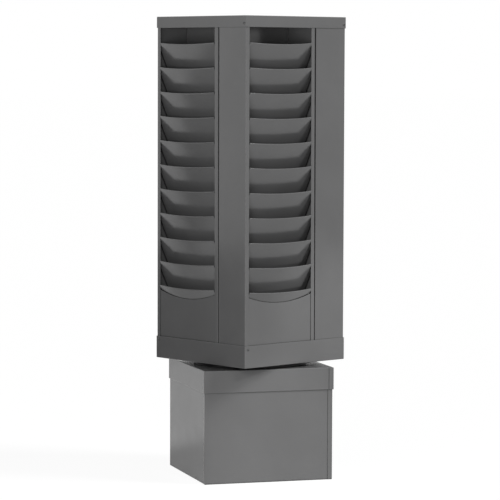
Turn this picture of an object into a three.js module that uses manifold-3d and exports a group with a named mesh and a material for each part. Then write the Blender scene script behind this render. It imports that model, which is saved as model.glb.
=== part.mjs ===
// Revolving periodical display rack in folded, painted sheet steel.
// Four upright racks of leaning pockets stand pinwheel fashion in a pan under a cap. They turn
// together on a ball-bearing ring that lies on the lid of a square base.
// Millimetres, +Z up. The origin is on the floor, under the axis that the tower turns on.

import * as THREE from "three";
import { mergeVertices } from "three/addons/utils/BufferGeometryUtils.js";
import Module from "manifold-3d";

const wasm = await Module();
wasm.setup();

// Sheet metal
const SHEET = 0.9; // 20 gauge steel
const BEND_RADIUS = 1.8; // outside of a fold
const SEAT_GAP = 0.3; // between pieces that are welded or stand on each other

// One rack: a channel, open at the front, with the pockets inside it
const RACK_WIDTH = 248;
const RACK_DEPTH = 105.4;
const RACK_HEIGHT = 915;
const FRONT_FLANGE = 12.7; // the channel's edges, folded in towards the opening
const RACK_GAP = 2; // between a rack and the side of the next one

// Pockets
const POCKET_COUNT = 11;
const POCKET_LEAN = THREE.MathUtils.degToRad(26.6); // from upright, the top forwards
const POCKET_BOW = 11.2; // how far a pocket's front swells in the middle
const LIP_OVERHANG = 0.6; // of a pocket's top corners, past the rack's front
const LIP_CLEARANCE = 0.8; // between a pocket's lip and the rack's front flange
const HEM_HEIGHT = 8; // the top edge, folded back on itself
const FLOOR_LEDGE = 12.5; // the pocket's floor, from its front to the rack's back, at the ends
const SIDE_TAB = 10; // the ends of a pocket's front, folded back to be welded to the rack
const FLOOR_ROOM = 5; // under the lowest pocket
const TOP_ROOM = 68; // from the highest lip to the top of the rack
const APRON_CLEARANCE = 0.7; // between the apron and the lowest pocket

// Cap, pan and lid: square trays
const TRAY_CLEARANCE = 0.6; // between the racks and the flanges of the cap and the pan
const CAP_FLANGE = 30;
const PAN_FLANGE = 58.7;
const LID_FLANGE = 58.7;

// Ball-bearing ring
const RACE_RADIUS = 132; // of the circle that the balls run on
const RING_WIDTH = 40;
const BALL_COUNT = 16;
const BALL_DIAMETER = 6.35;
const BALL_CLEARANCE = 0.7; // between a ball and its groove
const RACE_FLOOR = 1.1; // steel left under the groove
const CAGE_SHEET = 0.8;
const CAGE_WIDTH = 12;
const CAGE_CLEARANCE = 0.3;

// Base
const BASE_HEIGHT = 300;
const BASE_TURN = THREE.MathUtils.degToRad(-25.1); // the base stands askew under the tower
const LID_CLEARANCE = 0.8; // between the lid's flange and the base's walls
const SEAM_LAP = 12.7; // the edge of each wall, folded round a corner onto the next wall
const FOOT_FLANGE = 25; // the walls, folded in along the floor

// What follows from them
const towerSide = RACK_WIDTH + RACK_DEPTH + RACK_GAP;
const traySize = towerSide + 2 * (TRAY_CLEARANCE + SHEET);
const baseSide = traySize - 2 * (2 * SHEET + LID_CLEARANCE);
const swivelHeight = BALL_DIAMETER + 2 * (BALL_CLEARANCE + RACE_FLOOR + SEAT_GAP);
const ringGap = CAGE_SHEET + 2 * CAGE_CLEARANCE;
const ringHeight = (swivelHeight - 2 * SEAT_GAP - ringGap) / 2;
const towerFoot = BASE_HEIGHT + swivelHeight;
const rackFoot = SHEET + SEAT_GAP;
const towerHeight = RACK_HEIGHT + 2 * rackFoot;

const wallGap = SHEET + SEAT_GAP;
const pocketWidth = RACK_WIDTH - 2 * wallGap;
const lipHalfWidth = RACK_WIDTH / 2 - FRONT_FLANGE - LIP_CLEARANCE;
const bowRadius = ((pocketWidth / 2) ** 2 + POCKET_BOW ** 2) / (2 * POCKET_BOW);
const sinLean = Math.sin(POCKET_LEAN);
const cosLean = Math.cos(POCKET_LEAN);
const pocketLength = (RACK_DEPTH - wallGap + LIP_OVERHANG - FLOOR_LEDGE * cosLean) / sinLean;
const lowestLip = FLOOR_ROOM + pocketLength * cosLean + POCKET_BOW * sinLean;
const pocketPitch = (RACK_HEIGHT - TOP_ROOM - lowestLip) / (POCKET_COUNT - 1);

// How finely the curves are drawn
const BEND_STEPS = 2; // the chords in half of a fold
const BOW_STEPS = 4; // the chords in half of a pocket's front
const GROOVE_STEPS = 4; // the chords across a ball groove
const RING_STEPS = 40; // the chords round the bearing
const BALL_STEPS = [6, 4]; // round a ball, and from pole to pole
const PAST = 5; // how far a cutting solid runs past what it cuts

// How far a pocket's front stands out from the line between its ends, at a distance from its middle
function bow(across) {
  return Math.sqrt(bowRadius ** 2 - across ** 2) - bowRadius + POCKET_BOW;
}

// Solids and meshes

function solidOf(geometry) {
  const bare = new THREE.BufferGeometry();
  bare.setIndex(geometry.index);
  bare.setAttribute("position", geometry.getAttribute("position"));
  const merged = mergeVertices(bare, 1e-4);
  return new wasm.Manifold(
    new wasm.Mesh({
      numProp: 3,
      vertProperties: new Float32Array(merged.getAttribute("position").array),
      triVerts: new Uint32Array(merged.index.array),
    }),
  );
}

function geometryOf(solid) {
  const { vertProperties, triVerts } = solid.getMesh();
  const geometry = new THREE.BufferGeometry();
  geometry.setAttribute("position", new THREE.BufferAttribute(vertProperties, 3));
  geometry.setIndex(new THREE.BufferAttribute(triVerts, 1));
  const faceted = geometry.toNonIndexed();
  faceted.computeVertexNormals();
  return faceted;
}

// A block between two corners, turned about the z axis by a number of quarter turns
function blockSolid([x0, y0, z0], [x1, y1, z1], quarter = 0) {
  const block = new THREE.BoxGeometry(x1 - x0, y1 - y0, z1 - z0);
  block.translate((x0 + x1) / 2, (y0 + y1) / 2, (z0 + z1) / 2);
  return solidOf(block.rotateZ((quarter * Math.PI) / 2));
}

function extrude(shape, depth, curveSegments = BEND_STEPS) {
  return new THREE.ExtrudeGeometry(shape, { depth, curveSegments, bevelEnabled: false });
}

function polygon(points) {
  return new THREE.Shape(points.map(([x, y]) => new THREE.Vector2(x, y)));
}

function paintedSteel() {
  return new THREE.MeshStandardMaterial({ color: 0x6f6f70, roughness: 0.48, metalness: 0.1 });
}

function darkSteel() {
  return new THREE.MeshStandardMaterial({ color: 0x1c1c1e, roughness: 0.45, metalness: 0.7 });
}

function ballSteel() {
  return new THREE.MeshStandardMaterial({ color: 0x9a9a9c, roughness: 0.25, metalness: 0.9 });
}

function named(name, geometry, material) {
  const mesh = new THREE.Mesh(geometry, material);
  mesh.name = name;
  return mesh;
}

// A rack's own frame: x across it from its middle, y from its front to its back, z up from its foot

function rackShellGeometry() {
  const side = RACK_WIDTH / 2;
  const bend = side - BEND_RADIUS;
  const back = RACK_DEPTH - BEND_RADIUS;
  const inside = BEND_RADIUS - SHEET;
  const [east, north, west, south] = [0, Math.PI / 2, Math.PI, -Math.PI / 2];
  const outline = new THREE.Shape();
  outline.moveTo(FRONT_FLANGE - side, 0);
  outline.absarc(-bend, BEND_RADIUS, BEND_RADIUS, south, west, true);
  outline.absarc(-bend, back, BEND_RADIUS, west, north, true);
  outline.absarc(bend, back, BEND_RADIUS, north, east, true);
  outline.absarc(bend, BEND_RADIUS, BEND_RADIUS, east, south, true);
  outline.lineTo(side - FRONT_FLANGE, 0);
  outline.lineTo(side - FRONT_FLANGE, SHEET);
  outline.absarc(bend, BEND_RADIUS, inside, south, east, false);
  outline.absarc(bend, back, inside, east, north, false);
  outline.absarc(-bend, back, inside, north, west, false);
  outline.absarc(-bend, BEND_RADIUS, inside, west, south, false);
  outline.lineTo(FRONT_FLANGE - side, SHEET);
  return geometryOf(solidOf(extrude(outline, RACK_HEIGHT)));
}

// The sheet below the lowest pocket. Its top edge follows that pocket's bowed front.
function apronGeometry() {
  const half = RACK_WIDTH / 2 - BEND_RADIUS - SEAT_GAP;
  const behind = wallGap + SHEET + APRON_CLEARANCE;
  const edge = [];
  for (let step = -BOW_STEPS; step <= BOW_STEPS; step++) {
    const across = (-half * step) / BOW_STEPS;
    const drop = (behind + LIP_OVERHANG + bow(across) / cosLean) / Math.tan(POCKET_LEAN);
    edge.push([across, lowestLip - drop]);
  }
  const sheet = extrude(polygon([[-half, 0], [half, 0], ...edge]), SHEET);
  return sheet.rotateX(Math.PI / 2).translate(0, wallGap + SHEET, 0);
}

// Draws the bow at a distance in from a pocket's front face, from end to end
function drawBow(shape, inset, rightward) {
  const swing = Math.asin((pocketWidth / 2 + PAST) / bowRadius);
  const ends = [Math.PI / 2 + swing, Math.PI / 2 - swing];
  const [start, end] = rightward ? ends : ends.reverse();
  shape.absarc(0, POCKET_BOW - bowRadius, bowRadius - inset, start, end, rightward);
}

// A band that follows the bow, between two distances in from a pocket's front face
function bowBand(from, to) {
  const band = new THREE.Shape();
  drawBow(band, from, true);
  drawBow(band, to, false);
  return band;
}

// A pocket's floor: bowed at the front, and cut straight somewhere past the rack's back
function floorShape() {
  const back = -FLOOR_LEDGE - POCKET_BOW - PAST;
  const floor = new THREE.Shape();
  drawBow(floor, 0, true);
  floor.lineTo(pocketWidth / 2 + PAST, back);
  floor.lineTo(-pocketWidth / 2 - PAST, back);
  return floor;
}

// One pocket: its bowed front with a hemmed lip, its floor and its two weld tabs, in one sheet.
// It is laid out flat on its front, with z running down from the lip, and then leant into place.
function pocketGeometry() {
  const half = pocketWidth / 2;
  const front = solidOf(extrude(bowBand(0, SHEET), pocketLength, BOW_STEPS));
  const hem = solidOf(extrude(bowBand(SHEET / 2, 2 * SHEET), HEM_HEIGHT, BOW_STEPS));
  const ledge = extrude(floorShape(), SHEET, BOW_STEPS).translate(0, 0, pocketLength - SHEET);

  const behindFlange = wallGap + LIP_OVERHANG + bow(lipHalfWidth) * cosLean;
  const notchDepth = behindFlange / sinLean + LIP_CLEARANCE;
  let sheet = front.add(hem).add(solidOf(ledge));
  for (const end of [-1, 1]) {
    const tab = [[end * half, -SIDE_TAB, notchDepth], [end * (half - SHEET), -SHEET / 2, pocketLength]];
    const notch = [[end * lipHalfWidth, -PAST - SHEET, -PAST], [end * (half + PAST), POCKET_BOW, notchDepth]];
    sheet = sheet.add(cornerBlock(tab)).subtract(cornerBlock(notch));
  }
  const leant = geometryOf(sheet).rotateX(Math.PI + POCKET_LEAN).translate(0, -LIP_OVERHANG, 0);
  return geometryOf(solidOf(leant).intersect(rackInside()));
}

function cornerBlock([a, b]) {
  const low = a.map((value, axis) => Math.min(value, b[axis]));
  const high = a.map((value, axis) => Math.max(value, b[axis]));
  return blockSolid(low, high);
}

// The room between a rack's walls, open to the front, which a pocket fills from side to side
function rackInside() {
  const half = pocketWidth / 2;
  const back = RACK_DEPTH - wallGap;
  const corner = Math.max(BEND_RADIUS - wallGap, SEAT_GAP);
  const room = new THREE.Shape();
  room.moveTo(-half, -RACK_DEPTH);
  room.lineTo(half, -RACK_DEPTH);
  room.absarc(half - corner, back - corner, corner, 0, Math.PI / 2, false);
  room.absarc(corner - half, back - corner, corner, Math.PI / 2, Math.PI, false);
  const reach = 2 * pocketLength;
  return solidOf(extrude(room, reach).translate(0, 0, PAST - reach));
}

// A square sheet tray with its floor's outer face at z 0, open upwards.
// With a lap, each wall folds round a corner onto the next wall, which lies one sheet further in.
function trayGeometry(flange, lap) {
  const face = traySize / 2 - SHEET;
  const inside = lap > 0 ? face - SHEET : face;
  const outer = beveledBlock(traySize / 2, BEND_RADIUS, 0, flange);
  let tray = outer.subtract(beveledBlock(inside, BEND_RADIUS - SHEET, SHEET, flange));
  if (lap > 0) {
    const recess = [[lap - face, -traySize, -PAST], [traySize, -face, flange + PAST]];
    for (let quarter = 0; quarter < 4; quarter++) {
      tray = tray.subtract(blockSolid(...recess, quarter));
    }
  }
  return geometryOf(tray.intersect(blockSolid([-traySize, -traySize, -PAST], [traySize, traySize, flange])));
}

// A square block with rounded lower edges, from a floor to past a height
function beveledBlock(half, radius, floor, height) {
  const side = half - radius;
  const square = polygon([[-side, -side], [side, -side], [side, side], [-side, side]]);
  const block = new THREE.ExtrudeGeometry(square, {
    depth: height + PAST,
    bevelThickness: radius,
    bevelSize: radius,
    bevelSegments: BEND_STEPS,
  });
  return solidOf(block.translate(0, 0, floor + radius));
}

// A bearing ring with its grooved face up and its foot at z 0
function ringGeometry() {
  const grooveRadius = BALL_DIAMETER / 2 + BALL_CLEARANCE;
  const ballHeight = ringHeight + ringGap / 2;
  const reach = Math.acos(ringGap / 2 / grooveRadius);
  const [inner, outer] = [RACE_RADIUS - RING_WIDTH / 2, RACE_RADIUS + RING_WIDTH / 2];
  const groove = [];
  for (let step = 0; step <= GROOVE_STEPS; step++) {
    const angle = reach - (2 * reach * step) / GROOVE_STEPS;
    groove.push([RACE_RADIUS + grooveRadius * Math.sin(angle), ballHeight - grooveRadius * Math.cos(angle)]);
  }
  return turned([[inner, 0], [outer, 0], [outer, ringHeight], ...groove, [inner, ringHeight]]);
}

// A ring turned from its section, given as points of radius and height
function turned(section) {
  const profile = [...section, section[0]].map(([radius, height]) => new THREE.Vector2(radius, height));
  return geometryOf(solidOf(new THREE.LatheGeometry(profile, RING_STEPS).rotateX(Math.PI / 2)));
}

// The balls in their cage, round the origin
function cageGeometry() {
  const [inner, outer] = [RACE_RADIUS - CAGE_WIDTH / 2, RACE_RADIUS + CAGE_WIDTH / 2];
  const half = CAGE_SHEET / 2;
  let cage = solidOf(turned([[inner, -half], [outer, -half], [outer, half], [inner, half]]));
  for (let number = 0; number < BALL_COUNT; number++) {
    const angle = (2 * Math.PI * number) / BALL_COUNT;
    const ball = new THREE.SphereGeometry(BALL_DIAMETER / 2, ...BALL_STEPS).rotateX(Math.PI / 2);
    ball.translate(RACE_RADIUS * Math.cos(angle), RACE_RADIUS * Math.sin(angle), 0);
    cage = cage.add(solidOf(ball));
  }
  return geometryOf(cage);
}

// The plan of four walls that each fold round a corner and lap onto the next wall
function lappedPlan(half, lap) {
  const face = half - SHEET;
  const plan = new THREE.Shape();
  for (let quarter = 0; quarter < 4; quarter++) {
    const turn = (quarter * Math.PI) / 2;
    const at = (x, y) => new THREE.Vector2(x, y).rotateAround(new THREE.Vector2(), turn);
    const bend = at(BEND_RADIUS - half, BEND_RADIUS - face);
    plan.absarc(bend.x, bend.y, BEND_RADIUS, Math.PI + turn, Math.PI * 1.5 + turn, false);
    for (const seam of [at(face - lap, -face), at(face - lap, -half)]) {
      plan.lineTo(seam.x, seam.y);
    }
  }
  return plan;
}

// The base: four walls with lapped seams, folded in along the floor
function baseBoxGeometry() {
  const inside = baseSide / 2 - 2 * SHEET;
  const open = inside - FOOT_FLANGE;
  const height = BASE_HEIGHT - SHEET - SEAT_GAP;
  const block = solidOf(extrude(lappedPlan(baseSide / 2, SEAM_LAP), height));
  const room = blockSolid([-inside, -inside, SHEET], [inside, inside, height + PAST]);
  const opening = blockSolid([-open, -open, -PAST], [open, open, SHEET + PAST]);
  return geometryOf(block.subtract(room).subtract(opening));
}

// Assembly

function rack(name) {
  const group = new THREE.Group();
  group.add(named(`${name}_rack_shell`, rackShellGeometry(), paintedSteel()));
  group.add(named(`${name}_rack_apron`, apronGeometry(), paintedSteel()));
  const pocket = pocketGeometry();
  for (let number = 1; number <= POCKET_COUNT; number++) {
    const mesh = named(`${name}_rack_pocket_${String(number).padStart(2, "0")}`, pocket, paintedSteel());
    mesh.position.z = lowestLip + (POCKET_COUNT - number) * pocketPitch;
    group.add(mesh);
  }
  return group;
}

function tower() {
  const group = new THREE.Group();
  group.position.z = towerFoot;
  group.add(named("tower_pan", trayGeometry(PAN_FLANGE, 0), paintedSteel()));
  const cap = named("tower_cap", trayGeometry(CAP_FLANGE, 0), paintedSteel());
  cap.rotation.x = Math.PI;
  cap.position.z = towerHeight;
  group.add(cap);
  const upperRing = named("swivel_upper_ring", ringGeometry(), darkSteel());
  upperRing.rotation.x = Math.PI;
  upperRing.position.z = -SEAT_GAP;
  group.add(upperRing);
  ["front", "right", "back", "left"].forEach((name, quarter) => {
    const corner = new THREE.Group();
    corner.rotation.z = (quarter * Math.PI) / 2;
    const upright = rack(name);
    upright.position.set((RACK_WIDTH - towerSide) / 2, -towerSide / 2, rackFoot);
    corner.add(upright);
    group.add(corner);
  });
  return group;
}

function base() {
  const group = new THREE.Group();
  group.rotation.z = BASE_TURN;
  group.add(named("base_box", baseBoxGeometry(), paintedSteel()));
  const lid = named("base_lid", trayGeometry(LID_FLANGE, SEAM_LAP), paintedSteel());
  lid.rotation.x = Math.PI;
  lid.position.z = BASE_HEIGHT;
  group.add(lid);
  const lowerRing = named("swivel_lower_ring", ringGeometry(), darkSteel());
  lowerRing.position.z = BASE_HEIGHT + SEAT_GAP;
  group.add(lowerRing);
  return group;
}

const periodicalRack = new THREE.Group();
const cage = named("swivel_ball_cage", cageGeometry(), ballSteel());
cage.position.z = BASE_HEIGHT + swivelHeight / 2;
periodicalRack.add(base(), cage, tower());

export default periodicalRack;
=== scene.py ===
"""Looks of a revolving periodical display rack in folded and painted sheet steel.

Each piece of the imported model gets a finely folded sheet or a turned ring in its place, screws are
added, and all of it is finished with node-based paint and steel. Metres, +Z up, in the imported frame.
"""
import math

import bmesh
import bpy
from mathutils import Matrix, Vector


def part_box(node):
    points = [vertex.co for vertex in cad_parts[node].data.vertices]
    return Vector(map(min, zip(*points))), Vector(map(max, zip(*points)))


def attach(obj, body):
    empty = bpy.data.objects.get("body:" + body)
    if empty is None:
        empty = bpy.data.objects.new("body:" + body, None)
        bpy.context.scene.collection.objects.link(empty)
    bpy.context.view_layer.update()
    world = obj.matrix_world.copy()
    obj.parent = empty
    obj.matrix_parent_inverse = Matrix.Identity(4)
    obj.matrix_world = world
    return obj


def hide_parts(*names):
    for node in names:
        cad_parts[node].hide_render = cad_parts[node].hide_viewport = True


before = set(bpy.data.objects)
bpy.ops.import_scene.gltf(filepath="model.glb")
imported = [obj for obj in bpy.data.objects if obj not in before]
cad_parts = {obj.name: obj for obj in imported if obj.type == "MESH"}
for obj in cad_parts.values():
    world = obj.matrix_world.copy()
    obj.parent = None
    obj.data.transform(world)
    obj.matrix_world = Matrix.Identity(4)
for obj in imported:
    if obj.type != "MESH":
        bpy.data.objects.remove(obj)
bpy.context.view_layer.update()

MM = 0.001

# Sheet metal
SHEET = 0.9 * MM
FOLD = 1.8 * MM  # outer radius of a fold
BURR = 0.2 * MM  # rounding of a cut edge
CUT_ANGLE = math.radians(60)  # faces that turn by more than this meet in a cut edge
WEAR_REACH = 1.5 * MM  # how far from an edge the paint is thinned
DIRT_AND_SHADE_REACH = 6 * MM  # how far out of a joint the dirt and the painted shade reach

# Racks and pockets, as in the imported model
RACKS = ("front", "right", "back", "left")
POCKET_COUNT = 11
FRONT_FLANGE = 12.7 * MM
WALL_GAP = 1.2 * MM  # from a rack's outer face to what stands inside it
JOINT_OPENING = 3 * MM  # how much wider the joint between two racks is at its top
POCKET_LEAN = math.radians(26.6)
POCKET_BOW = 11.2 * MM
LIP_OVERHANG = 0.6 * MM
LIP_CLEARANCE = 0.8 * MM
HEM_HEIGHT = 8 * MM
HEM_ROLL = 0.6 * MM  # middle radius of the hem's fold
FLOOR_LEDGE = 12.5 * MM
SIDE_TAB = 10 * MM
POCKET_FOLD = 1.6 * MM  # middle radius of a pocket's other folds
APRON_MARGIN = 2.1 * MM  # from a rack's side to the apron's edge
APRON_CLEARANCE = 0.7 * MM
APRON_EASE = 3 * MM  # how much further the ends of its top edge lie below the pocket

# Trays and base
TRAY_CORNER = 1.0 * MM  # radius of the upright corners
LEAST_CORNER = 0.025 * MM  # the least that is left of it on an inner face
BASE_TURN = math.radians(-25.1)
LID_CLEARANCE = 0.8 * MM  # between the lid's flange and the base's walls
SEAM_LAP = 12.7 * MM
SEAM_GROOVE = 0.5 * MM  # width of the joint beside a lapped seam
SEAM_DEPTH = 0.6 * MM
SEAM_ROOM = 4.5 * MM  # the least between a seam and the corner beside it
FOOT_FLANGE = 25 * MM

# Bearing
RACE_RADIUS = 132 * MM
RING_WIDTH = 40 * MM
RING_CHAMFER = 0.4 * MM
BALL_COUNT = 16
BALL_RADIUS = 6.35 / 2 * MM
BALL_CLEARANCE = 0.7 * MM
CAGE_SHEET = 0.8 * MM
CAGE_WIDTH = 12 * MM
CAGE_CLEARANCE = 0.3 * MM

# Screws
SCREW_RADIUS = 3.2 * MM
SCREW_HEIGHT = 1.8 * MM
SCREW_RIM = 0.5  # height of the head at its rim, as a share of its height in the middle
SCREW_FLAT = 0.1  # radius of the flat middle, as a share of the head's radius
SLOT_WIDTH = 1.3 * MM  # of the cross recess
SLOT_DEPTH = 1.1 * MM
SLOT_REACH = 0.62  # how far out the recess goes, as a share of the head's radius
PAN_SCREW = (11 * MM, 10 * MM)  # from the tray's left corner, and from its rim
CAP_SCREW = (7 * MM, 10 * MM)  # from the tray's right corner, and from its rim

# Fineness of the meshes
FOLD_STEPS = 6
BURR_STEPS = 2
BOW_STEPS = 20
HEM_STEPS = 6
POCKET_FOLD_STEPS = 4
FRONT_ROWS = 6
CORNER_STEPS = 4
RING_STEPS = 144
GROOVE_STEPS = 12
BALL_STEPS = (24, 16)  # round the ball, and from pole to pole
SCREW_STEPS = 48
SCREW_RINGS = 14
CREASES = {  # degrees: faces that turn by more than this look sharp
    "channel": 60,
    "sheet": 40,
    "tray": 50,
    "ring": 30,
    "screw": 35,
}

# Paint and steel, as linear colours
PAINT_GREY = (0.14, 0.14, 0.141, 1)
PAINT_EDGE = (0.19, 0.19, 0.192, 1)
# Colour of the dirt and the painted shade that darken joints, recesses and places under overhangs
PAINT_DIRT_AND_SHADE = (0.02, 0.02, 0.02, 1)
PAINT_MOTTLE = 0.06  # how much darker and lighter the grey is in places
PAINT_IOR = 1.58
PAINT_ROUGHNESS = (0.17, 0.25)
OXIDE_COLOURS = ((0.012, 0.012, 0.013, 1), (0.035, 0.034, 0.034, 1))
OXIDE_ROUGHNESS = (0.3, 0.5)
OXIDE_METALLIC = 0.6
STEEL_COLOURS = ((0.32, 0.32, 0.33, 1), (0.46, 0.46, 0.47, 1))
STEEL_ROUGHNESS = (0.16, 0.3)
STEEL_METALLIC = 1.0

# Texture of the finishes
NOISES = {  # scale and detail
    "mottle": (7.0, 4.0),
    "specks": (2200.0, 1.0),
    "wear": (160.0, 3.0),
    "gloss": (18.0, 4.0),
    "buckle": (4.0, 1.0),
    "peel": (330.0, 1.5),
    "smear": (60.0, 4.0),
    "pits": (900.0, 2.0),
    "scratches": (1500.0, 3.0),
}
NOISE_MIDDLE = (0.3, 0.7)  # where most of a noise's values lie
FULL = (0.0, 1.0)
SPECKS = ((0.0, 0.12), (0.5, 0.8))  # amounts, and the values of the noise that they belong to
WEAR = ((0.1, 0.55), (0.35, 0.65))  # the same
DIRT_AND_SHADE = ((0.95, 0.0), (0.42, 0.92))  # amounts of dirt and painted shade, and how open the places are that they belong to
DIRT_AND_SHADE_SAMPLES = 8
BUMPS = {  # strength and depth
    "buckle": (0.25, 1.2 * MM),
    "peel": (0.1, 0.25 * MM),
    "pits": (0.12, 0.1 * MM),
}

# Camera
CAMERA_TURN = math.radians(42)  # the view looks along +Y, turned this far towards +X
CAMERA_DISTANCE = 7.0057
CAMERA_SIDE = -1.0 * MM
CAMERA_HEIGHT = 1.1015
CAMERA_PITCH = math.radians(4.07)
CAMERA_ROLL = math.radians(0.2)
CAMERA_LENS = 187.86
SENSOR = 36.0

# Stage. Every turn is to the right of the camera, as seen from the object's axis.
FLOOR_SIZE = 120.0
FLOOR_DROP = 0.1 * MM  # keeps the floor and the base's foot apart
FLOOR_BOUNCE = 0.5  # how much light the floor throws back on the object
FLOOR_SEEN = (0.93, 0.12)  # how white the floor looks by itself, and how much shadow shows on it
FLOOR_MIRRORED = (0.35, 0.82)  # the same, in the paint's gloss
CARD_TURN = math.radians(-88)
CARD_DISTANCE = 0.93
CARD_SIZE = (0.6, 0.56)
CARD_GLOW = 0.15
AMBIENT = 0.18
KEY_TURN = math.radians(75)
KEY_RISE = math.radians(45)
KEY_STRENGTH = 1.7
KEY_SOFTNESS = math.radians(15)
FILL_TURN = math.radians(-15)
FILL_DISTANCE = 1.9
FILL_HEIGHT = 1.0
FILL_SIZE = (1.0, 0.6)
FILL_POWER = 12.0
SPOTS = {
    "low_spot": {
        "power": 30.0,
        "turn": math.radians(60),
        "rise": math.radians(-6),
        "side": 0.05,
        "height": 0.25,
        "beam": math.radians(13),
    },
    "base_spot": {
        "power": 76.0,
        "turn": math.radians(20),
        "rise": math.radians(38.4),
        "side": 0.02,
        "height": 1.49,
        "beam": math.radians(13),
    },
}
SPOT_DISTANCE = 2.0
SPOT_BLEND = 0.6
SPOT_RADIUS = 60 * MM

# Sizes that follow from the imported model
shell_low, shell_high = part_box("front_rack_shell")
pan_low, pan_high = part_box("tower_pan")
cap_low, cap_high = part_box("tower_cap")
lid_low, lid_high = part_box("base_lid")
wall_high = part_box("base_box")[1]

rack_width = shell_high.x - shell_low.x
rack_depth = shell_high.y - shell_low.y
rack_height = shell_high.z - shell_low.z
tray_half = pan_high.x
base_half = tray_half - 2 * SHEET - LID_CLEARANCE
pocket_half = rack_width / 2 - WALL_GAP
front_half = pocket_half - SHEET / 2 - POCKET_FOLD
lip_half = rack_width / 2 - FRONT_FLANGE - LIP_CLEARANCE
bow_radius = (pocket_half**2 + POCKET_BOW**2) / (2 * POCKET_BOW)
sin_lean, cos_lean = math.sin(POCKET_LEAN), math.cos(POCKET_LEAN)
pocket_length = (rack_depth - WALL_GAP + LIP_OVERHANG - FLOOR_LEDGE * cos_lean) / sin_lean


# Small helpers


def bow(across):
    """How far a pocket's front stands out from the line between its ends."""
    return math.sqrt(bow_radius**2 - across**2) - bow_radius + POCKET_BOW


def spread(start, end, count):
    """Evenly spaced values from start to end, both included."""
    return [start + (end - start) * step / (count - 1) for step in range(count)]


def arc(centre, radius, start, end, steps):
    """Points of an arc in a plane, from one angle in degrees to another."""
    angles = [math.radians(angle) for angle in spread(start, end, steps + 1)]
    return [(centre[0] + radius * math.cos(a), centre[1] + radius * math.sin(a)) for a in angles]


def raised(height):
    """A move up from the floor."""
    return Matrix.Translation((0, 0, height))


def about_z(angle):
    """A turn about the upright axis."""
    return Matrix.Rotation(angle, 4, "Z")


def upright(x, y, z):
    """Stands what lies in the xy plane up, facing -Y, and moves it to a place."""
    return Matrix.Translation((x, y, z)) @ Matrix.Rotation(math.pi / 2, 4, "X")


def rack_frame(quarter):
    """From a rack's own frame (x across, y front to back, z up from its foot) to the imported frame."""
    middle = (shell_low.x + shell_high.x) / 2
    stand = Matrix.Translation((middle, shell_low.y, shell_low.z))
    return about_z(quarter * math.pi / 2) @ stand


def drawn_in(vertices):
    """Points of a rack in its own frame, closer to its left side the higher they are."""
    share = JOINT_OPENING / rack_height / rack_width
    return [(x - share * z * (x + rack_width / 2), y, z) for x, y, z in vertices]


def make_object(name, vertices, faces, edge, crease, placed=Matrix.Identity(4)):
    """A smooth mesh object with a point attribute, edge, that says where the paint is thinned."""
    mesh = bpy.data.meshes.new(name)
    mesh.from_pydata([placed @ Vector(v) for v in vertices], [], faces)
    mesh.attributes.new("edge", "FLOAT", "POINT").data.foreach_set("value", edge)
    tidy = bmesh.new()
    tidy.from_mesh(mesh)
    bmesh.ops.recalc_face_normals(tidy, faces=tidy.faces)
    tidy.to_mesh(mesh)
    tidy.free()
    mesh.shade_smooth()
    mesh.set_sharp_from_angle(angle=math.radians(CREASES[crease]))
    piece = bpy.data.objects.new(name, mesh)
    bpy.context.scene.collection.objects.link(piece)
    return piece


def thicken(piece):
    """Gives a sheet its thickness, both ways from its middle."""
    solid = piece.modifiers.new("thickness", "SOLIDIFY")
    solid.thickness = SHEET
    solid.offset = 0
    solid.use_even_offset = True


def round_cuts(piece):
    """Rounds a sheet's cut edges."""
    burr = piece.modifiers.new("cut_edges", "BEVEL")
    burr.width = BURR
    burr.segments = BURR_STEPS
    burr.limit_method = "ANGLE"
    burr.angle_limit = CUT_ANGLE
    burr.harden_normals = True


def loft(rings, looped=False):
    """Vertices, faces and edge weights between closed rings of (point, weight), all of one length.

    Looped rings come round to the first one, and others are closed with a face at each end."""
    count = len(rings[0])
    vertices = [point for ring in rings for point, _ in ring]
    weights = [weight for ring in rings for _, weight in ring]
    total = len(vertices)
    faces = []
    for row in range(len(rings) if looped else len(rings) - 1):
        for step in range(count):
            a, b = row * count + step, row * count + (step + 1) % count
            faces.append((a, b, (b + count) % total, (a + count) % total))
    if not looped:
        faces += [tuple(range(count)), tuple(range(total - count, total))]
    return vertices, faces, weights


def revolve(section):
    """A closed section, as points of radius and height, turned about the upright axis."""
    rings = []
    for step in range(RING_STEPS):
        angle = 2 * math.pi * step / RING_STEPS
        rings.append([((r * math.cos(angle), r * math.sin(angle), z), 0.0) for r, z in section])
    return loft(rings, looped=True)


# Materials


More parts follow.
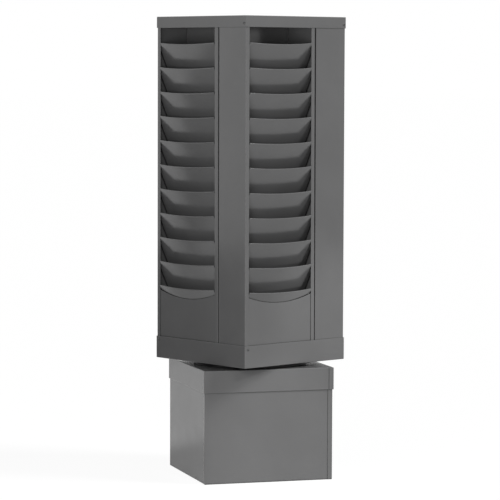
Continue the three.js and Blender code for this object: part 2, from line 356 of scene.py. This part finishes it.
class Nodes:
    """A short way to add linked nodes to a material."""

    def __init__(self, material):
        material.use_nodes = True
        self.tree = material.node_tree
        self.shader = self.tree.nodes["Principled BSDF"]
        self.place = self.add("ShaderNodeTexCoord").outputs["Object"]

    def add(self, kind, settings=None, inputs=None):
        node = self.tree.nodes.new(kind)
        for key, value in (settings or {}).items():
            setattr(node, key, value)
        for key, value in (inputs or {}).items():
            self.set(node, key, value)
        return node

    def set(self, node, socket, value):
        """Links a socket to another one, or gives it a plain value."""
        if isinstance(value, bpy.types.NodeSocket):
            self.tree.links.new(value, node.inputs[socket])
        else:
            node.inputs[socket].default_value = value

    def noise(self, name):
        scale, detail = NOISES[name]
        inputs = {"Vector": self.place, "Scale": scale, "Detail": detail}
        return self.add("ShaderNodeTexNoise", None, inputs).outputs["Fac"]

    def between(self, value, amounts, values=NOISE_MIDDLE):
        """Maps a span of values to a span of amounts."""
        inputs = {"Value": value, "From Min": values[0], "From Max": values[1]}
        inputs |= {"To Min": amounts[0], "To Max": amounts[1]}
        return self.add("ShaderNodeMapRange", None, inputs).outputs["Result"]

    def times(self, a, b):
        return self.add("ShaderNodeMath", {"operation": "MULTIPLY"}, {0: a, 1: b}).outputs[0]

    def mix(self, factor, a, b):
        return self.add("ShaderNodeMix", {"data_type": "RGBA"}, {0: factor, 6: a, 7: b}).outputs[2]

    def bump(self, name):
        strength, depth = BUMPS[name]
        inputs = {"Height": self.noise(name), "Strength": strength, "Distance": depth}
        return self.add("ShaderNodeBump", None, inputs)


def grey_paint():
    """Baked grey enamel: slightly mottled, with orange peel, thinner along edges, and darkened by dirt
    and painted shade in its joints and recesses.
    """
    material = bpy.data.materials.new("grey_paint_finish")
    n = Nodes(material)
    darker = [(1 - PAINT_MOTTLE) * value for value in PAINT_GREY[:3]] + [1]
    lighter = [(1 + PAINT_MOTTLE) * value for value in PAINT_GREY[:3]] + [1]
    mottle = n.mix(n.between(n.noise("mottle"), FULL), darker, lighter)
    grey = n.mix(n.between(n.noise("specks"), *SPECKS), mottle, PAINT_EDGE)
    edge = n.add("ShaderNodeAttribute", {"attribute_name": "edge"}).outputs["Fac"]
    worn = n.times(edge, n.between(n.noise("wear"), *WEAR))
    # Painted shade: ambient occlusion darkens the paint in joints, recesses and under overhangs, as
    # dirt and shade together
    joint_occlusion = n.add("ShaderNodeAmbientOcclusion", {"samples": DIRT_AND_SHADE_SAMPLES}, {"Distance": DIRT_AND_SHADE_REACH})
    dirt_and_painted_shade = n.between(joint_occlusion.outputs["AO"], *DIRT_AND_SHADE)
    n.set(n.shader, "Base Color", n.mix(dirt_and_painted_shade, n.mix(worn, grey, PAINT_EDGE), PAINT_DIRT_AND_SHADE))
    n.set(n.shader, "IOR", PAINT_IOR)
    n.set(n.shader, "Roughness", n.between(n.noise("gloss"), PAINT_ROUGHNESS))
    peel = n.bump("peel")
    n.set(peel, "Normal", n.bump("buckle").outputs["Normal"])
    n.set(n.shader, "Normal", peel.outputs["Normal"])
    return material


def dark_steel():
    """Black oxide steel with a film of oil."""
    material = bpy.data.materials.new("bearing_steel_finish")
    n = Nodes(material)
    smear = n.noise("smear")
    n.set(n.shader, "Base Color", n.mix(smear, *OXIDE_COLOURS))
    n.set(n.shader, "Roughness", n.between(smear, OXIDE_ROUGHNESS))
    n.set(n.shader, "Metallic", OXIDE_METALLIC)
    n.set(n.shader, "Normal", n.bump("pits").outputs["Normal"])
    return material


def bright_steel():
    """Bright steel with fine scratches."""
    material = bpy.data.materials.new("bearing_balls_finish")
    n = Nodes(material)
    scratches = n.noise("scratches")
    n.set(n.shader, "Base Color", n.mix(scratches, *STEEL_COLOURS))
    n.set(n.shader, "Roughness", n.between(scratches, STEEL_ROUGHNESS))
    n.set(n.shader, "Metallic", STEEL_METALLIC)
    return material


# Racks


def channel(name, placed):
    """The folded channel that holds a rack's pockets."""
    tip = rack_width / 2 - FRONT_FLANGE
    side, front, back = rack_width / 2 - FOLD, FOLD, rack_depth - FOLD
    corners = [((-side, front), 270, 180), ((-side, back), 180, 90)]
    corners += [((side, back), 90, 0), ((side, front), 0, -90)]
    outer = [((-tip, 0), 1), ((-tip - WEAR_REACH, 0), 0)]
    inner = [((-tip, SHEET), 1), ((-tip - WEAR_REACH, SHEET), 0)]
    worn = [0] + [1] * (FOLD_STEPS - 1) + [0]
    for centre, start, end in corners:
        outer += zip(arc(centre, FOLD, start, end, FOLD_STEPS), worn)
        inner += zip(arc(centre, FOLD - SHEET, start, end, FOLD_STEPS), worn)
    outer += [((tip + WEAR_REACH, 0), 0), ((tip, 0), 1)]
    inner += [((tip + WEAR_REACH, SHEET), 0), ((tip, SHEET), 1)]
    outline = outer + inner[::-1]
    rings = [[((x, y, z), weight) for (x, y), weight in outline] for z in (0.0, rack_height)]
    vertices, faces, weights = loft(rings)
    # The loft's two end faces are hollow shapes, so strips along the sheet take their place.
    faces = faces[:-2]
    last = len(outline) - 1
    for foot in (0, len(outline)):
        for step in range(len(outer) - 1):
            a, b = foot + step, foot + last - step
            faces.append((a, a + 1, b - 1, b))
    piece = make_object(name, drawn_in(vertices), faces, weights, "channel", placed)
    round_cuts(piece)
    return piece


def pocket_rows():
    """A pocket's sheet from its hem over the lip, down its front and along its floor.

    A row is (down, depth, share, columns, weight): its place down the slope, its depth behind the front
    face, how far along the floor it lies, which columns it has, and how worn its paint is."""
    middle = SHEET / 2
    hem = middle + HEM_ROLL
    rows = [(down, hem + HEM_ROLL, 0, "lip", 0) for down in (HEM_HEIGHT, HEM_HEIGHT / 2)]
    roll = arc((hem, hem), HEM_ROLL, 90, 270, HEM_STEPS)
    rows += [(down, depth, 0, "lip", 1) for down, depth in roll]
    rows.append((hem + WEAR_REACH, middle, 0, "lip", 0))
    notch = (WALL_GAP + LIP_OVERHANG + bow(lip_half) * cos_lean) / sin_lean + LIP_CLEARANCE
    foot = pocket_length - middle - POCKET_FOLD
    rows += [(down, middle, 0, "tab", 0) for down in spread(notch, foot, FRONT_ROWS)]
    fold = arc((foot, middle + POCKET_FOLD), POCKET_FOLD, 270, 360, POCKET_FOLD_STEPS)
    rows += [(down, depth, 0, "front", 0) for down, depth in fold[1:]]
    floor_down, floor_depth = fold[-1]
    rows += [(floor_down, floor_depth, share, "front", 0) for share in (0.5, 1.0)]
    return rows


def pocket_columns():
    """The places across a pocket, with how far each is set back where the ends fold into weld tabs."""
    fold = arc((front_half, POCKET_FOLD), POCKET_FOLD, -90, 0, POCKET_FOLD_STEPS)
    tab = [(x, back, "tab") for x, back in fold[1:]]
    tab += [(pocket_half - SHEET / 2, back, "tab") for back in (SIDE_TAB / 2, SIDE_TAB)]
    right = [(front_half, 0, "front")] + tab
    left = [(-x, back, kind) for x, back, kind in right[::-1]]
    return left + [(x, 0, "lip") for x in spread(-lip_half, lip_half, BOW_STEPS + 1)] + right


def pocket(name, lip_height, placed):
    """One pocket: a bowed front with a hemmed lip, a floor and two weld tabs, in one sheet."""
    wide_enough = {"lip": ("lip",), "front": ("lip", "front"), "tab": ("lip", "front", "tab")}
    rows, columns = pocket_rows(), pocket_columns()
    vertices, weights, index = [], [], {}
    for row, (down, depth, share, reach, weight) in enumerate(rows):
        for column, (x, back, kind) in enumerate(columns):
            if kind not in wide_enough[reach]:
                continue
            out = bow(min(abs(x), front_half)) - depth - back
            out += share * (-FLOOR_LEDGE - out)
            index[row, column] = len(vertices)
            y = down * sin_lean - out * cos_lean - LIP_OVERHANG
            vertices.append((x, y, lip_height - down * cos_lean - out * sin_lean))
            weights.append(weight)
    faces = []
    for row in range(len(rows) - 1):
        for column in range(len(columns) - 1):
            corners = [(row, column), (row, column + 1), (row + 1, column + 1), (row + 1, column)]
            if all(corner in index for corner in corners):
                faces.append(tuple(index[corner] for corner in corners))
    piece = make_object(name, drawn_in(vertices), faces, weights, "sheet", placed)
    thicken(piece)
    round_cuts(piece)
    return piece


def apron(name, lowest_lip, placed):
    """The sheet below the lowest pocket. Its top edge follows that pocket's bowed front."""
    half = rack_width / 2 - APRON_MARGIN
    behind = WALL_GAP + SHEET + APRON_CLEARANCE
    columns = spread(-half, half, 2 * BOW_STEPS + 1)
    vertices, weights = [], []
    for x in columns:
        top = lowest_lip - (behind + LIP_OVERHANG + bow(x) / cos_lean) / math.tan(POCKET_LEAN)
        top -= APRON_EASE * (x / half) ** 2
        levels = [(0, 0), (top - WEAR_REACH, 0), (top, 1)]
        vertices += [(x, WALL_GAP + SHEET / 2, height) for height, _ in levels]
        weights += [weight for _, weight in levels]
    faces = []
    for column in range(len(columns) - 1):
        for row in range(len(levels) - 1):
            a = len(levels) * column + row
            b = a + len(levels)
            faces.append((a, b, b + 1, a + 1))
    piece = make_object(name, drawn_in(vertices), faces, weights, "sheet", placed)
    thicken(piece)
    round_cuts(piece)
    return piece


# Trays and base


def plan_ring(half, inset, lap):
    """A square with rounded corners, as (x, y, weight), drawn in by an inset.

    With a lap, each wall lies one sheet further in. It folds round its left corner onto the next wall,
    and at its right end it has an open joint beside the lap of the wall before it."""
    out = half - inset
    wall = out - SHEET if lap else out
    radius = max(TRAY_CORNER - inset, LEAST_CORNER)
    worn = 0 if lap else 1
    corner = arc((radius - out, radius - wall), radius, 180, 270, CORNER_STEPS)
    side = [(-out, radius - wall + WEAR_REACH, 0)]
    side += [(x, y, worn) for x, y in corner]
    side.append((radius - out + WEAR_REACH, -wall, 0))
    if lap:
        seam = min(half - SHEET - lap, wall - radius - SEAM_ROOM)
        bottom = SEAM_DEPTH - wall
        side.append((seam - SEAM_GROOVE - BURR, -wall, 0))
        side += [(seam - SEAM_GROOVE, bottom, 0), (seam, bottom, 0)]
        side += [(seam, BURR - out, 1), (seam + BURR, -out, 1), (seam + WEAR_REACH, -out, 0)]
    ring = []
    for _ in range(4):
        ring += side
        side = [(-y, x, weight) for x, y, weight in side]
    return ring


def rings_of(profile, half, lap, placed):
    """Rings for a loft, from a profile of (inset, height, weight)."""
    rings = []
    for inset, height, weight in profile:
        ring = plan_ring(half, inset, lap)
        rings.append([(placed @ Vector((x, y, height)), max(weight, worn)) for x, y, worn in ring])
    return rings


def fold_profile(radius, start, end):
    """The rows of a fold between a floor and a wall, about the fold's own middle."""
    worn = [0] + [1] * (FOLD_STEPS - 1) + [0]
    points = arc((FOLD, FOLD), radius, start, end, FOLD_STEPS)
    return [(inset, height, weight) for (inset, height), weight in zip(points, worn)]


def wall_profile(height):
    """The rows of a wall: up its outer face from a fold, over its cut edge and down to the fold."""
    edge = [(0, height - WEAR_REACH, 0), (0, height - BURR, 1), (BURR, height, 1)]
    edge += [(SHEET - inset, level, weight) for inset, level, weight in edge[::-1]]
    return fold_profile(FOLD, 270, 180) + edge + fold_profile(FOLD - SHEET, 180, 270)


def tray(name, flange, half, lap, placed):
    """A square tray with its floor's outer face at height 0 and its flange upwards."""
    return make_object(name, *loft(rings_of(wall_profile(flange), half, lap, placed)), "tray")


def base_walls(name, half, height, placed):
    """The base: four walls, open above and folded in along the floor."""
    tip = FOOT_FLANGE + SHEET
    foot = [(tip - BURR, SHEET, 0), (tip, SHEET - BURR, 0), (tip, BURR, 0), (tip - BURR, 0, 0)]
    rings = rings_of(wall_profile(height) + foot, half, SEAM_LAP, placed)
    return make_object(name, *loft(rings, looped=True), "tray")


# Bearing


def race(name, low, high, groove_up):
    """A turned bearing ring with a ball groove in one face."""
    height, cut = high - low, RING_CHAMFER
    inner, outer = RACE_RADIUS - RING_WIDTH / 2, RACE_RADIUS + RING_WIDTH / 2
    above = CAGE_SHEET / 2 + CAGE_CLEARANCE
    groove_radius = BALL_RADIUS + BALL_CLEARANCE
    reach = math.degrees(math.acos(above / groove_radius))
    middle = (RACE_RADIUS, height + above)
    groove = arc(middle, groove_radius, reach - 90, -reach - 90, GROOVE_STEPS)
    section = [(inner + cut, 0), (outer - cut, 0), (outer, cut)]
    section += [(outer, height - cut), (outer - cut, height)] + groove
    section += [(inner + cut, height), (inner, height - cut), (inner, cut)]
    if not groove_up:
        section = [(radius, height - level) for radius, level in section]
    return make_object(name, *revolve(section), "ring", raised(low))


def ball_cage(name, height):
    """The balls in their cage ring."""
    half, cut = CAGE_SHEET / 2, BURR
    inner, outer = RACE_RADIUS - CAGE_WIDTH / 2, RACE_RADIUS + CAGE_WIDTH / 2
    section = [(inner + cut, -half), (outer - cut, -half), (outer, cut - half), (outer, half - cut)]
    section += [(outer - cut, half), (inner + cut, half), (inner, half - cut), (inner, cut - half)]
    piece = make_object(name, *revolve(section), "ring", raised(height))
    round_steps, pole_steps = BALL_STEPS
    full = bmesh.new()
    full.from_mesh(piece.data)
    for number in range(BALL_COUNT):
        angle = 2 * math.pi * number / BALL_COUNT
        x, y = RACE_RADIUS * math.cos(angle), RACE_RADIUS * math.sin(angle)
        ball = bmesh.ops.create_uvsphere(
            full,
            u_segments=round_steps,
            v_segments=pole_steps,
            radius=BALL_RADIUS,
            matrix=Matrix.Translation((x, y, height)),
        )
        for vertex in ball["verts"]:
            for face in vertex.link_faces:
                face.smooth = True
    full.to_mesh(piece.data)
    full.free()
    return piece


# Screws


def screw_head():
    """A pan head with a cross recess, as a loft of rings round its own z, from its foot inwards."""
    rings = []
    for radius in [SCREW_RADIUS] + spread(SCREW_RADIUS, SCREW_FLAT * SCREW_RADIUS, SCREW_RINGS):
        share = radius / SCREW_RADIUS
        dome = SCREW_HEIGHT * math.sqrt(1 - (1 - SCREW_RIM**2) * share**2) if rings else 0.0
        ring = []
        for step in range(SCREW_STEPS):
            angle = 2 * math.pi * step / SCREW_STEPS
            x, y = radius * math.cos(angle), radius * math.sin(angle)
            in_slot = min(abs(x), abs(y)) < SLOT_WIDTH / 2 and share < SLOT_REACH
            ring.append(((x, y, dome - SLOT_DEPTH * in_slot), 0))
        rings.append(ring)
    return loft(rings)


def screws(name, across, height):
    """A screw head on each of a tray's flanges, at one place across and up it."""
    head, head_faces, _ = screw_head()
    front = upright(across, -tray_half, height)
    vertices, faces = [], []
    for quarter in range(4):
        placed = about_z(quarter * math.pi / 2) @ front
        faces += [tuple(len(vertices) + corner for corner in face) for face in head_faces]
        vertices += [placed @ Vector(point) for point in head]
    return make_object(name, vertices, faces, [0] * len(vertices), "screw")


# Assembly

FINISHES = {
    "grey_paint": grey_paint(),
    "bearing_steel": dark_steel(),
    "bearing_balls": bright_steel(),
}


def add_piece(piece, body, slot, node=None):
    """Puts a piece on its body, in place of a node, with its finish."""
    piece.data.materials.append(FINISHES[slot])
    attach(piece, body)
    if node:
        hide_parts(node)


for quarter, side in enumerate(RACKS):
    stand = rack_frame(quarter)
    shell = channel(f"{side}_channel", stand)
    add_piece(shell, "tower", "grey_paint", f"{side}_rack_shell")
    for number in range(1, POCKET_COUNT + 1):
        node = f"{side}_rack_pocket_{number:02d}"
        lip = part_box(node)[1].z - shell_low.z
        sheet = pocket(f"{side}_pocket_sheet_{number:02d}", lip, stand)
        add_piece(sheet, "tower", "grey_paint", node)
    # The last pocket is the lowest one.
    sheet = apron(f"{side}_apron_sheet", lip, stand)
    add_piece(sheet, "tower", "grey_paint", f"{side}_rack_apron")

upside_down = Matrix.Diagonal((1, 1, -1, 1))
pan_place = raised(pan_low.z)
cap_place = raised(cap_high.z) @ upside_down
base_place = about_z(BASE_TURN)
lid_place = base_place @ raised(lid_high.z) @ upside_down

pan = tray("pan_tray", pan_high.z - pan_low.z, tray_half, 0, pan_place)
add_piece(pan, "tower", "grey_paint", "tower_pan")
cap = tray("cap_tray", cap_high.z - cap_low.z, tray_half, 0, cap_place)
add_piece(cap, "tower", "grey_paint", "tower_cap")
lid = tray("lid_tray", lid_high.z - lid_low.z, tray_half, SEAM_LAP, lid_place)
add_piece(lid, "base", "grey_paint", "base_lid")
walls = base_walls("base_walls", base_half, wall_high.z, base_place)
add_piece(walls, "base", "grey_paint", "base_box")

lower_low, lower_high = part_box("swivel_lower_ring")
upper_low, upper_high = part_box("swivel_upper_ring")
lower = race("lower_race", lower_low.z, lower_high.z, True)
add_piece(lower, "base", "bearing_steel", "swivel_lower_ring")
upper = race("upper_race", upper_low.z, upper_high.z, False)
add_piece(upper, "tower", "bearing_steel", "swivel_upper_ring")
cage = ball_cage("caged_balls", (lower_high.z + upper_low.z) / 2)
add_piece(cage, "cage", "bearing_balls", "swivel_ball_cage")

pan_screws = screws("pan_screws", PAN_SCREW[0] - tray_half, pan_high.z - PAN_SCREW[1])
add_piece(pan_screws, "tower", "grey_paint")
cap_screws = screws("cap_screws", tray_half - CAP_SCREW[0], cap_low.z + CAP_SCREW[1])
add_piece(cap_screws, "tower", "grey_paint")


# Stage: floor, card, background, light and camera


def flat_plane(name, size, placed):
    """A rectangle in its own xy plane, put in place on the stage."""
    x, y = size[0] / 2, size[1] / 2
    corners = [(-x, -y, 0), (x, -y, 0), (x, y, 0), (-x, y, 0)]
    mesh = bpy.data.meshes.new(name)
    mesh.from_pydata([placed @ Vector(corner) for corner in corners], [], [(0, 1, 2, 3)])
    plane = bpy.data.objects.new(name, mesh)
    bpy.context.scene.collection.objects.link(plane)
    return plane


class Stage:
    """A short way to build the shaders of the floor, the card and the background."""

    def __init__(self, owner):
        owner.use_nodes = True
        self.tree = owner.node_tree
        self.tree.nodes.clear()

    def shader(self, kind, shade, strength=None):
        node = self.tree.nodes.new(kind)
        node.inputs["Color"].default_value = (shade, shade, shade, 1)
        if strength is not None:
            node.inputs["Strength"].default_value = strength
        return node.outputs[0]

    def join(self, kind, sources, factor=None):
        node = self.tree.nodes.new(kind)
        if factor:
            self.tree.links.new(factor, node.inputs["Fac"])
        for socket, shader in zip(node.inputs[-2:], sources):
            self.tree.links.new(shader, socket)
        return node.outputs[0]

    def paper(self, white, shade):
        """A shader that glows white by itself and shows some of the light that falls on it."""
        glow = self.shader("ShaderNodeEmission", 1.0, white)
        return self.join("ShaderNodeAddShader", (self.shader("ShaderNodeBsdfDiffuse", shade), glow))

    def by_ray(self, lit, mirrored, seen):
        """One shader for light that bounces, one in gloss and glass, and one for the camera."""
        path = self.tree.nodes.new("ShaderNodeLightPath")
        for ray, shader in (("Glossy", mirrored), ("Transmission", mirrored), ("Camera", seen)):
            lit = self.join("ShaderNodeMixShader", (lit, shader), path.outputs[f"Is {ray} Ray"])
        return lit

    def finish(self, kind, surface):
        output = self.tree.nodes.new(kind)
        self.tree.links.new(surface, output.inputs["Surface"])


def floor():
    """A pale floor that looks white and keeps a soft shadow. From below it is clear."""
    plane = flat_plane("floor", (FLOOR_SIZE, FLOOR_SIZE), raised(-FLOOR_DROP))
    material = bpy.data.materials.new("floor_paper")
    stage = Stage(material)
    bounce = stage.shader("ShaderNodeBsdfDiffuse", FLOOR_BOUNCE)
    surface = stage.by_ray(bounce, stage.paper(*FLOOR_MIRRORED), stage.paper(*FLOOR_SEEN))
    below = stage.tree.nodes.new("ShaderNodeNewGeometry").outputs["Backfacing"]
    clear = stage.shader("ShaderNodeBsdfTransparent", 1.0)
    surface = stage.join("ShaderNodeMixShader", (surface, clear), below)
    stage.finish("ShaderNodeOutputMaterial", surface)
    plane.data.materials.append(material)


def grey_card():
    """A grey card that stands at the left and shows in the gloss alone."""
    stand = upright(0, -CARD_DISTANCE, CARD_SIZE[1] / 2)
    card = flat_plane("left_card", CARD_SIZE, about_z(CARD_TURN - CAMERA_TURN) @ stand)
    material = bpy.data.materials.new("left_card_grey")
    stage = Stage(material)
    glow = stage.shader("ShaderNodeEmission", 1.0, CARD_GLOW)
    stage.finish("ShaderNodeOutputMaterial", glow)
    card.data.materials.append(material)
    for ray in ("camera", "diffuse", "transmission", "shadow"):
        setattr(card, f"visible_{ray}", False)


def background():
    """A white background, with a plain even light from all round."""
    world = bpy.data.worlds.new("studio")
    bpy.context.scene.world = world
    stage = Stage(world)
    ambient = stage.shader("ShaderNodeBackground", 1.0, AMBIENT)
    white = stage.shader("ShaderNodeBackground", 1.0, 1.0)
    stage.finish("ShaderNodeOutputWorld", stage.by_ray(ambient, white, white))


def add_light(kind, name, energy, turn, rise, place=Vector()):
    """A light that shines towards the object's axis, down by its rise."""
    data = bpy.data.lights.new(name, kind)
    data.energy = energy
    lamp = bpy.data.objects.new(name, data)
    lamp.location = about_z(turn - CAMERA_TURN) @ place
    lamp.rotation_euler = (math.pi / 2 - rise, 0, turn - CAMERA_TURN)
    bpy.context.scene.collection.objects.link(lamp)
    return lamp


def key_light():
    """A large soft light, high at the right."""
    lamp = add_light("SUN", "key", KEY_STRENGTH, KEY_TURN, KEY_RISE)
    lamp.data.angle = KEY_SOFTNESS


def fill_light():
    """A softbox in front, which the camera and the gloss don't show."""
    place = Vector((0, -FILL_DISTANCE, FILL_HEIGHT))
    lamp = add_light("AREA", "fill", FILL_POWER, FILL_TURN, 0, place)
    lamp.data.shape = "RECTANGLE"
    lamp.data.size, lamp.data.size_y = FILL_SIZE
    lamp.visible_camera = False
    lamp.visible_glossy = False


def spot_light(name, power, turn, rise, side, height, beam):
    """A narrow light on one part of the object, which the gloss doesn't show."""
    place = Vector((side, -SPOT_DISTANCE, height))
    lamp = add_light("SPOT", name, power, turn, rise, place)
    lamp.data.spot_size = beam
    lamp.data.spot_blend = SPOT_BLEND
    lamp.data.shadow_soft_size = SPOT_RADIUS
    lamp.visible_glossy = False


def camera():
    """The photograph's view."""
    data = bpy.data.cameras.new("camera")
    data.lens = CAMERA_LENS
    data.sensor_width = SENSOR
    eye = bpy.data.objects.new("camera", data)
    place = Matrix.Translation((CAMERA_SIDE, -CAMERA_DISTANCE, CAMERA_HEIGHT))
    aim = Matrix.Rotation(math.pi / 2 - CAMERA_PITCH, 4, "X") @ about_z(CAMERA_ROLL)
    eye.matrix_world = about_z(-CAMERA_TURN) @ place @ aim
    bpy.context.scene.collection.objects.link(eye)
    bpy.context.scene.camera = eye


floor()
grey_card()
background()
key_light()
fill_light()
for name, values in SPOTS.items():
    spot_light(name, **values)
camera()
bpy.context.scene.view_settings.view_transform = "Standard"
